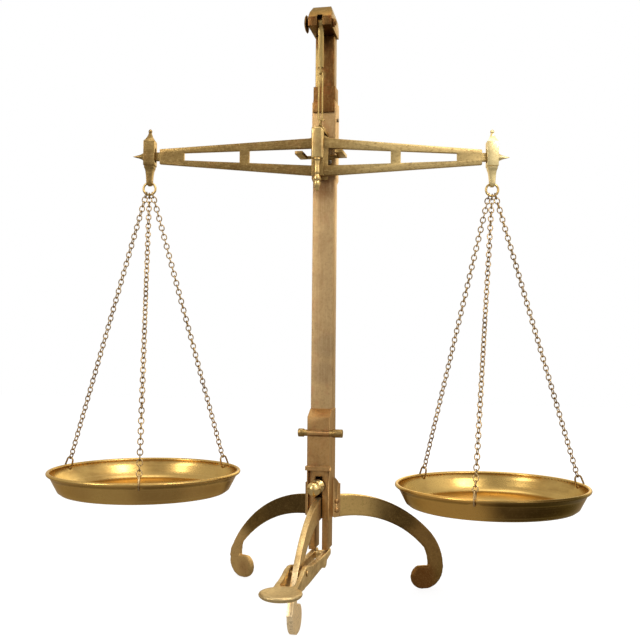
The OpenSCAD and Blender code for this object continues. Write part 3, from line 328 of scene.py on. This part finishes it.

# pools of darker or lighter brass, some of them painted light and shade as marked: place, radius, color and strength
paintedShadeBrown, deepRed, paleFloor = (0.075, 0.043, 0.014), (0.14, 0.05, 0.011), (0.38, 0.30, 0.12)
tonesAndPaintedLight = {
    "front_leg": [
        # painted highlight: pale pools along the front leg near its foot
        pool(legTip, (0, 0.02, 0.02), 0.05, (0.95, 0.74, 0.45), 0.9),
        pool(legTip, (0, 0.075, 0.105), 0.055, (0.56, 0.38, 0.16), 0.6)],
    "outer_column": [
        pool(column, (0.006, columnFront, 0.31), 0.016, (0.22, 0.145, 0.08), 0.5),
        pool(column, (0.004, columnFront, 0.275), 0.014, (0.24, 0.15, 0.08), 0.45),
        pool(column, (0, columnFront, 0.40), 0.11, (0.44, 0.30, 0.15), 0.4),
        # painted shadow of the beam on the column, just below the sleeve
        pool(column, (0, columnFront, sleeveLow - 0.005), 0.022, (0.20, 0.09, 0.035), 0.6),
        pool(column, (0, columnFront, columnTop - 0.03), 0.035, (0.30, 0.17, 0.06), 0.5)],
    "base_socket": [
        pool(column, (0, -0.02, corners("base_socket")[0].z + 0.015), 0.03, (0.52, 0.315, 0.12), 0.75)],
    "right_pan": [
        # painted shade: two near-black pools on the pan's lower right
        pool(rightPan, (0.08, 0.03, 0.008), 0.05, (0.030, 0.015, 0.003), 0.96),
        pool(rightPan, (0.04, 0.006, 0.012), 0.05, (0.05, 0.025, 0.005), 0.8),
        pool(rightPan, (-0.05, 0.015, 0.01), 0.05, (0.62, 0.34, 0.08), 0.75),
        pool(panFloor["right_pan"], (0, 0, 0.004), 0.06, paleFloor, 0.85)],
    "left_pan": [
        pool(leftPan, (0.005, 0, 0.006), 0.03, (0.56, 0.35, 0.10), 0.5),
        pool(leftPan, (0.06, 0.02, 0.012), 0.03, (0.22, 0.125, 0.035), 0.5),
        pool(panFloor["left_pan"], (0, 0, 0.004), 0.06, paleFloor, 0.85)],
    "slide_bar": [
        pool(slideFront, (-0.013, 0, z), 0.012, (0.34, 0.245, 0.09), 0.8)
        for z in (0.598, 0.622, 0.646, 0.67)] + [
        # painted shade: dark spots down the slide's right side face
        pool(column, (0.018, 0, z), 0.0125, (0.07, 0.038, 0.012), 0.85)
        for z in (0.60, 0.62, 0.64, 0.66, 0.68, 0.70)],
    # painted shade: the head's top face darkened
    "head": [pool(headTop, (0, 0, 0.01), 0.034, (0.085, 0.05, 0.018), 0.85)],
    "beam": [pool(middle("beam").lerp(middle("right_end_box"), 0.6), (0, 0, 0), 0.10, (0.42, 0.305, 0.13), 0.9)],
    "thumb_lever": [pool(frontLow("thumb_lever"), (0, 0.02, 0.01), 0.03, (0.42, 0.31, 0.15), 0.85)],
    "left_leg": [
        # painted shade darkens the leg's root, and painted light brightens its foot
        pool(column, (-0.045, 0.02, legTop - 0.01), 0.06, paintedShadeBrown, 0.75),
        pool(leftFoot, (0, 0, 0.03), 0.036, (0.64, 0.40, 0.15), 0.85),
        pool(leftFoot, (0.012, -0.004, 0.014), 0.011, (0.30, 0.14, 0.05), 0.5)],
    "right_leg": [
        # painted light brightens the leg's root, and painted shade darkens the band beyond it
        pool(column, (0.03, 0.02, legTop - 0.01), 0.05, (0.62, 0.41, 0.145), 0.9),
        pool(column, (0.085, 0.05, legTop - 0.02), 0.035, paintedShadeBrown, 0.6),
        pool(rightFoot, (0, 0, 0.058), 0.034, (0.27, 0.145, 0.045), 0.55),
        pool(rightFoot, (-0.012, -0.008, 0.012), 0.022, deepRed, 0.85)],
}

# meshes: weld distance and voxel size in metres, angles in degrees
meshing = {"weld": 0.000002, "flatAngle": 1.0, "bevelAngle": 38.0, "bevelSegments": 2, "voxel": 0.0009,
           "sharpPlain": 32.0, "sharpBevelled": 40.0, "sharpCast": 80.0, "sharpChain": 60.0}


def finishedPiece(name, mesh, material, members, sharpAngle):
    mesh.materials.clear()
    mesh.materials.append(material)
    piece = bpy.data.objects.new(name, mesh)
    scene.collection.objects.link(piece)
    mesh.shade_smooth()
    mesh.set_sharp_from_angle(angle=math.radians(sharpAngle))
    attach(piece, bodyOf[members[0]])
    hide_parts(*members)


def evaluated(mesh, build):
    # runs modifiers on a scratch object and returns the plain mesh
    scratch = bpy.data.objects.new("scratch", mesh)
    scene.collection.objects.link(scratch)
    build(scratch)
    result = bpy.data.meshes.new_from_object(scratch.evaluated_get(bpy.context.evaluated_depsgraph_get()))
    bpy.data.objects.remove(scratch)
    return result


def weldedCopy(node):
    work = bmesh.new()
    work.from_mesh(frame["nodes"][node].data)
    bmesh.ops.remove_doubles(work, verts=work.verts, dist=meshing["weld"])
    return work


def cleanCopy(node, flatten=False):
    mesh = frame["nodes"][node].data.copy()
    mesh.name = node + "_shape"
    work = weldedCopy(node)
    if flatten:
        bmesh.ops.dissolve_limit(work, angle_limit=math.radians(meshing["flatAngle"]), verts=work.verts,
                                 edges=work.edges)
    work.to_mesh(mesh)
    work.free()
    return mesh


def bevelled(node):
    def build(scratch):
        bevel = scratch.modifiers.new("edges", "BEVEL")
        bevel.width = edgeRadius[node]
        bevel.segments = meshing["bevelSegments"]
        bevel.limit_method = "ANGLE"
        bevel.angle_limit = math.radians(meshing["bevelAngle"])
        bevel.use_clamp_overlap = True
    return evaluated(cleanCopy(node, flatten=True), build)


def castShape(node):
    # remeshed evenly, then relaxed, for the soft outline of a rough casting
    def build(scratch):
        remesh = scratch.modifiers.new("even", "REMESH")
        remesh.mode = "VOXEL"
        remesh.voxel_size = meshing["voxel"]
        relax = scratch.modifiers.new("relax", "SMOOTH")
        relax.factor = 0.5
        relax.iterations = castRounds[node]
    return evaluated(cleanCopy(node), build)


def easedBend(mesh, pushes):
    # draws the leg's outermost point in towards the column, so that the bend runs round smoothly
    tip = max((v.co.copy() for v in mesh.vertices), key=lambda c: (c.x - column.x) ** 2 + (c.y - column.y) ** 2)
    inward = Vector((column.x - tip.x, column.y - tip.y, 0)).normalized()
    for radius, depth in pushes:
        for vert in mesh.vertices:
            vert.co += inward * depth * math.exp(-((vert.co - tip).length / radius) ** 2)
    return mesh


seedStep = 0.37
for index, (node, finish) in enumerate(nodeFinish.items()):
    turned = middle(node) if finish in ("leftPan", "pan") else None
    material = agedBrassWithPaintedLight(node + "_" + finish, finishes[finish], seedStep * index, tonesAndPaintedLight.get(node, ()), turned)
    if node in castRounds:
        shape = easedBend(castShape(node), bendEase.get(node, ()))
        sharpAngle = meshing["sharpCast"]
    elif node in edgeRadius:
        shape = bevelled(node)
        sharpAngle = meshing["sharpBevelled"]
    else:
        shape = cleanCopy(node)
        sharpAngle = meshing["sharpPlain"]
    finishedPiece(node + "_finished", shape, material, [node], sharpAngle)
print("finishes set on", len(nodeFinish), "pieces")

# chains: Geometry Nodes repeats one wire link from the ring down, and a longer hook link holds the pan's rim
chainSizes = {"pitch": 0.00586, "wire": 0.0014, "play": 0.0002, "slim": 0.8, "spread": math.radians(32.0),
              "facets": 20, "wireFacets": 8, "hookWire": 0.0023, "hookLow": 0.005, "hookHigh": 0.0042,
              "hookArc": 18, "hookFacets": 10, "slack": 0.0001}


def chainTree():
    tree = bpy.data.node_groups.new("linked_chain", "GeometryNodeTree")
    sockets = {}
    for label, kind in (("Start", "NodeSocketVector"), ("End", "NodeSocketVector"), ("Links", "NodeSocketInt"),
                        ("Turn", "NodeSocketFloat"), ("Lean", "NodeSocketVector"), ("Link Radius", "NodeSocketFloat"),
                        ("Wire Radius", "NodeSocketFloat"), ("Material", "NodeSocketMaterial")):
        sockets[label] = tree.interface.new_socket(label, in_out="INPUT", socket_type=kind).identifier
    tree.interface.new_socket("Geometry", in_out="OUTPUT", socket_type="NodeSocketGeometry")
    given = addNode(tree, "NodeGroupInput").outputs
    line = addNode(tree, "GeometryNodeMeshLine", mode="END_POINTS",
                   links={"Count": given["Links"], "Start Location": given["Start"], "Offset": given["End"]})
    loop = addNode(tree, "GeometryNodeCurvePrimitiveCircle", {"Resolution": chainSizes["facets"]},
                   {"Radius": given["Link Radius"]}, mode="RADIUS")
    wire = addNode(tree, "GeometryNodeCurvePrimitiveCircle", {"Resolution": chainSizes["wireFacets"]},
                   {"Radius": given["Wire Radius"]}, mode="RADIUS")
    oval = addNode(tree, "GeometryNodeTransform", {"Scale": (1, chainSizes["slim"], 1)},
                   {"Geometry": loop.outputs[0]})
    swept = addNode(tree, "GeometryNodeCurveToMesh",
                    links={"Curve": oval.outputs[0], "Profile Curve": wire.outputs[0]})
    upright = addNode(tree, "GeometryNodeTransform", {"Rotation": (0, math.radians(90), 0)},
                      {"Geometry": swept.outputs[0]})
    count = addNode(tree, "GeometryNodeInputIndex").outputs[0]
    fromEnd = mathNode(tree, "SUBTRACT", mathNode(tree, "SUBTRACT", given["Links"], 1), count)
    angle = times(tree, fromEnd, given["Turn"])
    twist = addNode(tree, "FunctionNodeAxisAngleToRotation", {"Axis": (0, 0, 1)}, {"Angle": angle})
    lean = addNode(tree, "FunctionNodeEulerToRotation", links={0: given["Lean"]})
    turned = addNode(tree, "FunctionNodeRotateRotation", links={0: lean.outputs[0], 1: twist.outputs[0]},
                     rotation_space="LOCAL")
    place = addNode(tree, "GeometryNodeInstanceOnPoints",
                    links={"Points": line.outputs[0], "Instance": upright.outputs[0], "Rotation": turned.outputs[0]})
    real = addNode(tree, "GeometryNodeRealizeInstances", links={0: place.outputs[0]})
    painted = addNode(tree, "GeometryNodeSetMaterial",
                      links={"Geometry": real.outputs[0], "Material": given["Material"]})
    addNode(tree, "NodeGroupOutput", links={0: painted.outputs[0]})
    return tree, sockets


linkTree, linkSockets = chainTree()


def islandCentres(node):
    # middle of each loose part of a CAD node
    work = weldedCopy(node)
    found, centres = set(), []
    for seedVert in work.verts:
        if seedVert in found:
            continue
        stack, part = [seedVert], []
        found.add(seedVert)
        while stack:
            vert = stack.pop()
            part.append(vert.co.copy())
            for link in vert.link_edges:
                other = link.other_vert(vert)
                if other not in found:
                    found.add(other)
                    stack.append(other)
        low = Vector(min(p[i] for p in part) for i in range(3))
        high = Vector(max(p[i] for p in part) for i in range(3))
        centres.append((low + high) / 2)
    work.free()
    return centres


def hookPath(rim, top, across):
    # a pear-shaped path: wide round the rim, narrow where the chain hangs in it
    axis = (top - rim).normalized()
    low, high, arc = chainSizes["hookLow"], chainSizes["hookHigh"], chainSizes["hookArc"]
    reach = (top - rim).length - high
    slant = math.asin((low - high) / reach)
    path = []
    for centre, radius, start, end in ((reach, high, slant, math.pi - slant),
                                       (0.0, low, math.pi - slant, 2 * math.pi + slant)):
        for step in range(arc + 1):
            angle = start + (end - start) * step / arc
            path.append(rim + axis * (centre + radius * math.sin(angle)) + across * (radius * math.cos(angle)))
    return path


def hookLoop(work, rim, top):
    axis = (top - rim).normalized()
    across = axis.cross(Vector((-axis.y, axis.x, 0)).normalized())
    out = axis.cross(across)
    path = hookPath(rim, top, across)
    wire, facets = chainSizes["hookWire"] / 2, chainSizes["hookFacets"]
    rings = []
    for i, point in enumerate(path):
        along = (path[(i + 1) % len(path)] - path[i - 1]).normalized()
        side = along.cross(out)
        turns = [2 * math.pi * k / facets for k in range(facets)]
        rings.append([work.verts.new(point + (out * math.cos(turn) + side * math.sin(turn)) * wire)
                      for turn in turns])
    for i, ring in enumerate(rings):
        after = rings[(i + 1) % len(rings)]
        for k in range(facets):
            following = (k + 1) % facets
            work.faces.new((ring[k], ring[following], after[following], after[k]))


def hangingLinks(node):
    # centres of the links from the top, without the lowest, whose place the long hook takes
    return sorted(islandCentres(node), key=lambda c: -c.z)[:-1]


def chainMesh(node, centres, material, ringAxis, lean):
    first, last, links = centres[0], centres[-1], len(centres)
    along = (first - last).normalized()
    tilt, heading = math.acos(along.z), math.atan2(along.y, along.x)
    ex = Vector((math.cos(tilt) * math.cos(heading), math.cos(tilt) * math.sin(heading), -math.sin(tilt)))
    ey = Vector((-math.sin(heading), math.cos(heading), 0))
    tangent = ringAxis * math.cos(lean) + Vector((0, 0, math.sin(lean)))
    firstTurn = math.atan2(tangent.dot(ey), tangent.dot(ex))
    halfTurns = round((math.pi / 2 * (links - 1) - firstTurn) / math.pi)
    values = {"Start": tuple(first), "End": tuple(last), "Links": links,
              "Turn": (firstTurn + math.pi * halfTurns) / (links - 1), "Lean": (0, tilt, heading),
              "Link Radius": (chainSizes["pitch"] + chainSizes["play"] + chainSizes["wire"]) / 2,
              "Wire Radius": chainSizes["wire"] / 2, "Material": material}

    def build(scratch):
        modifier = scratch.modifiers.new("links", "NODES")
        modifier.node_group = linkTree
        for label, value in values.items():
            modifier[linkSockets[label]] = value
    return evaluated(bpy.data.meshes.new(node), build)


chainSeed = {"left": 3.1, "right": 4.3}
hookHang = (chainSizes["pitch"] + chainSizes["play"] - chainSizes["hookWire"]) / 2 - chainSizes["slack"]
for side, seed in chainSeed.items():
    material = agedBrassWithPaintedLight(side + "_chains", finishes["chain"], seed)
    outward = middle(side + "_ring") - middle("beam")
    ringAxis = Vector((outward.x, outward.y, 0)).normalized()
    if side == "left":
        ringAxis = -ringAxis
    work = bmesh.new()
    members = []
    for name, lean in (("front", 0.0), ("back", chainSizes["spread"]), ("side", -chainSizes["spread"])):
        node = side + "_" + name + "_chain"
        links = hangingLinks(node)
        work.from_mesh(chainMesh(node, links, material, ringAxis, lean))
        members.append(node)
        drop = (links[-1] - links[0]).normalized()
        rim = min(islandCentres(side + "_hook_links"), key=lambda c: (c - links[-1]).length)
        hookLoop(work, rim, links[-1] + drop * hookHang)
    members.append(side + "_hook_links")
    merged = bpy.data.meshes.new(side + "_chains")
    work.to_mesh(merged)
    work.free()
    finishedPiece(side + "_chains_finished", merged, material, members, meshing["sharpChain"])
    print(side, "chains:", len(merged.polygons), "faces")

# floor: it glows to the camera, so that it stays near white, and looks dim in the metal
studio = {"floorSize": 8.0, "floorColor": (0.92, 0.92, 0.92, 1), "rough": 0.9, "metalTint": (1, 0.97, 0.93, 1),
          "inMetal": 0.5, "seen": 0.8, "glow": 1.12}
white = (1, 1, 1, 1)
floorMesh = bpy.data.meshes.new("floor")
half = studio["floorSize"] / 2
floorMesh.from_pydata([(-half, -half, 0), (half, -half, 0), (half, half, 0), (-half, half, 0)], [], [(0, 1, 2, 3)])
floor = bpy.data.objects.new("floor", floorMesh)
scene.collection.objects.link(floor)
floorMaterial = bpy.data.materials.new("pale_floor")
floorMaterial.use_nodes = True
floorTree = floorMaterial.node_tree
floorShader = floorTree.nodes["Principled BSDF"]
setInput(floorShader, {"Base Color": studio["floorColor"], "Roughness": studio["rough"], "Specular IOR Level": 0.0})
glow = addNode(floorTree, "ShaderNodeEmission", {"Color": white, "Strength": studio["glow"]})
dimFloor = addNode(floorTree, "ShaderNodeEmission", {"Color": studio["metalTint"], "Strength": studio["inMetal"]})
floorRay = addNode(floorTree, "ShaderNodeLightPath").outputs
seen = times(floorTree, floorRay["Is Camera Ray"], studio["seen"])
litFloor = mixShaders(floorTree, seen, floorShader.outputs[0], glow.outputs[0])
shownFloor = mixShaders(floorTree, floorRay["Is Glossy Ray"], litFloor, dimFloor.outputs[0])
floorTree.links.new(shownFloor, floorTree.nodes["Material Output"].inputs["Surface"])
floorMesh.materials.append(floorMaterial)

# white backdrop behind the object; in the metal, a dimmer room with a bright side to the right and a weaker one
# to the left; a pair is where a part of the room begins and where it is full
room = {"fillColor": (0.97, 0.98, 1.0, 1), "fill": 0.7, "mirrorColor": (1, 0.985, 0.96, 1),
        "front": 0.5, "right": 0.95, "rightFrom": (0.06, 0.38), "left": 0.26, "leftFrom": (0.06, 0.3),
        "high": 0.14, "highFrom": (0.0, 0.4), "back": 1.0, "backFrom": (-0.25, 0.45)}
world = bpy.data.worlds.new("studio")
scene.world = world
world.use_nodes = True
worldTree = world.node_tree
fill = worldTree.nodes["Background"]
setInput(fill, {"Color": room["fillColor"], "Strength": room["fill"]})
direction = addNode(worldTree, "ShaderNodeTexCoord").outputs["Generated"]
axes = addNode(worldTree, "ShaderNodeSeparateXYZ", links={0: direction}).outputs
rightSide = times(worldTree, rampNode(worldTree, axes["X"], *room["rightFrom"]), room["right"])
leftward = times(worldTree, axes["X"], -1.0)
leftSide = times(worldTree, rampNode(worldTree, leftward, *room["leftFrom"]), room["left"])
higher = times(worldTree, rampNode(worldTree, axes["Z"], *room["highFrom"]), room["high"])
sides = mathNode(worldTree, "ADD", rightSide, leftSide)
frontShade = mathNode(worldTree, "ADD", sides, mathNode(worldTree, "ADD", higher, room["front"]))
backward = rampNode(worldTree, axes["Y"], *room["backFrom"])
shade = addNode(worldTree, "ShaderNodeMix", {3: room["back"]}, {0: backward, 2: frontShade}, data_type="FLOAT")
mirrored = addNode(worldTree, "ShaderNodeBackground", {"Color": room["mirrorColor"]}, {"Strength": shade.outputs[0]})
whiteBack = addNode(worldTree, "ShaderNodeBackground", {"Color": white, "Strength": 1.0})
worldRay = addNode(worldTree, "ShaderNodeLightPath").outputs
around = mixShaders(worldTree, worldRay["Is Glossy Ray"], fill.outputs[0], mirrored.outputs[0])
shownWorld = mixShaders(worldTree, worldRay["Is Camera Ray"], around, whiteBack.outputs[0])
worldTree.links.new(shownWorld, worldTree.nodes["World Output"].inputs["Surface"])

lamps = {
    "leftBox": {"place": (-1.3, -1.5, 1.2), "size": (0.5, 1.3), "power": 20.0, "tint": (1.0, 0.97, 0.92)},
    "rightBox": {"place": (0.92, -0.62, 1.38), "size": (0.42, 0.5), "power": 11.0, "tint": (1.0, 0.97, 0.92)},
    "topBox": {"place": (0.0, 0.1, 2.2), "size": (1.4, 1.0), "power": 14.0, "tint": (1.0, 1.0, 1.0)},
    "backBox": {"place": (0.4, 2.0, 1.1), "size": (1.8, 1.2), "power": 10.0, "tint": (1.0, 1.0, 1.0)},
}
aim = Vector((0.0, 0.0, 0.32))
for name, lamp in lamps.items():
    light = bpy.data.lights.new(name, "AREA")
    light.shape = "RECTANGLE"
    light.size, light.size_y = lamp["size"]
    light.energy = lamp["power"]
    light.color = lamp["tint"]
    holder = bpy.data.objects.new(name, light)
    holder.location = lamp["place"]
    holder.rotation_euler = (aim - Vector(lamp["place"])).to_track_quat("-Z", "Y").to_euler()
    scene.collection.objects.link(holder)

# the camera solved from the photograph: place in metres, angles in degrees, focal length in pixels
view = {"place": (0.2124, -0.9965, 0.3027), "tilt": 92.03, "roll": 0.52, "turn": 11.67, "focal": 861.5,
        "pixels": 640.0, "sensor": 36.0}
lens = bpy.data.cameras.new("camera")
lens.sensor_width = view["sensor"]
lens.lens = view["focal"] / view["pixels"] * view["sensor"]
lens.clip_start = 0.01
eye = bpy.data.objects.new("camera", lens)
facing = Euler((math.radians(view["tilt"]), 0, math.radians(view["turn"])), "XYZ").to_matrix()
rolled = facing @ Matrix.Rotation(math.radians(view["roll"]), 3, "Z")
eye.matrix_world = Matrix.Translation(view["place"]) @ rolled.to_4x4()
scene.collection.objects.link(eye)
scene.camera = eye
print("studio and camera set")
